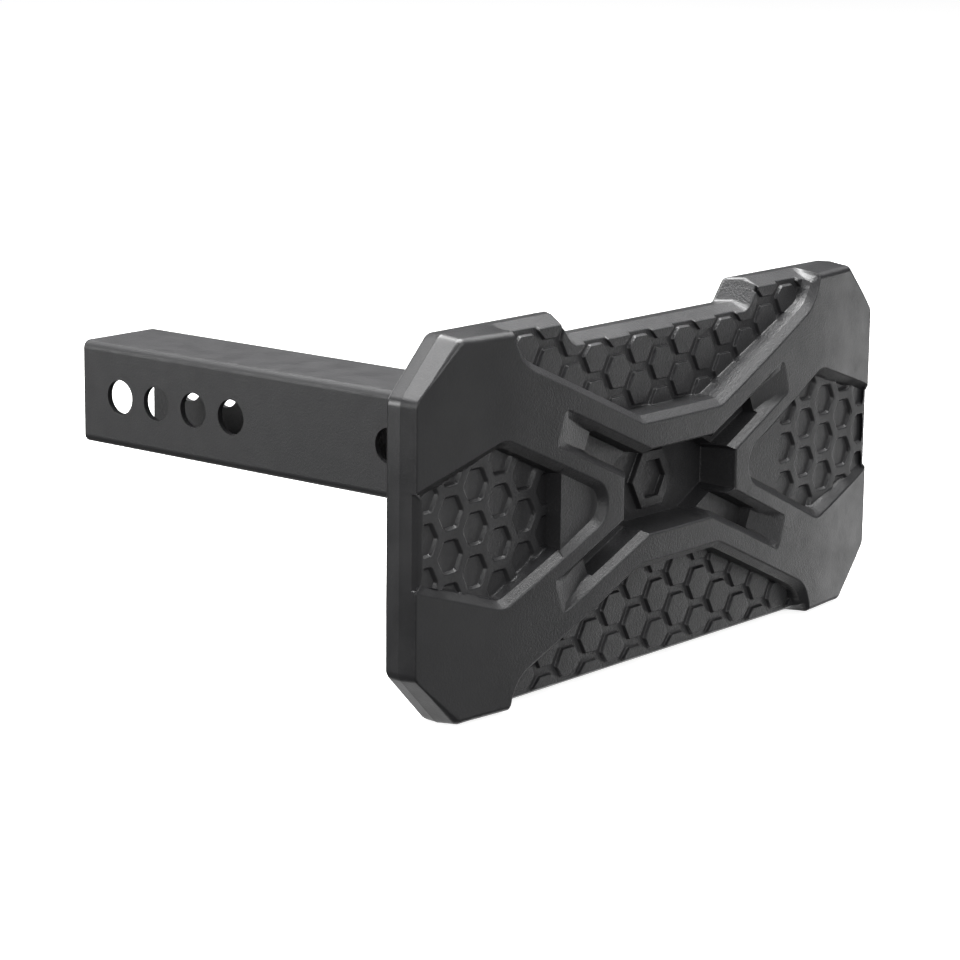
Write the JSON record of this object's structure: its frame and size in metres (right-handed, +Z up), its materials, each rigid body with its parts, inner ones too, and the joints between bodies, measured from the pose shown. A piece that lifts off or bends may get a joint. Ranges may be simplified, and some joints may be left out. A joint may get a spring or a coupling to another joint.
{
  "type": "tailgate step",
  "caption": "Hitch-mounted tailgate step: a square receiver tube with pin holes and a wide moulded rubber tread pad across its end.",
  "frame": {"origin": "centre of the hitch-pin hole nearest the tube's open end, on the tube's axis", "axes": "+X along the pin holes and the pad's width, +Y along the tube towards its open end, +Z up"},
  "size_m": [0.328, 0.3465, 0.161],
  "materials": {
    "powder_coat": "satin",
    "pad_rubber": "matte",
    "bare_steel": "satin",
    "insert_metal": "satin",
    "zinc_steel": "satin"
  },
  "bodies": {
    "root": {"receiver_tube": "powder_coat", "mounting_plate": "powder_coat", "weld_beads": "powder_coat", "step_pad": "pad_rubber", "core_plate": "bare_steel", "pad_inserts": "insert_metal", "pad_bolts": "zinc_steel", "flat_washers": "zinc_steel", "lock_washers": "zinc_steel"}
  },
  "joints": []
}
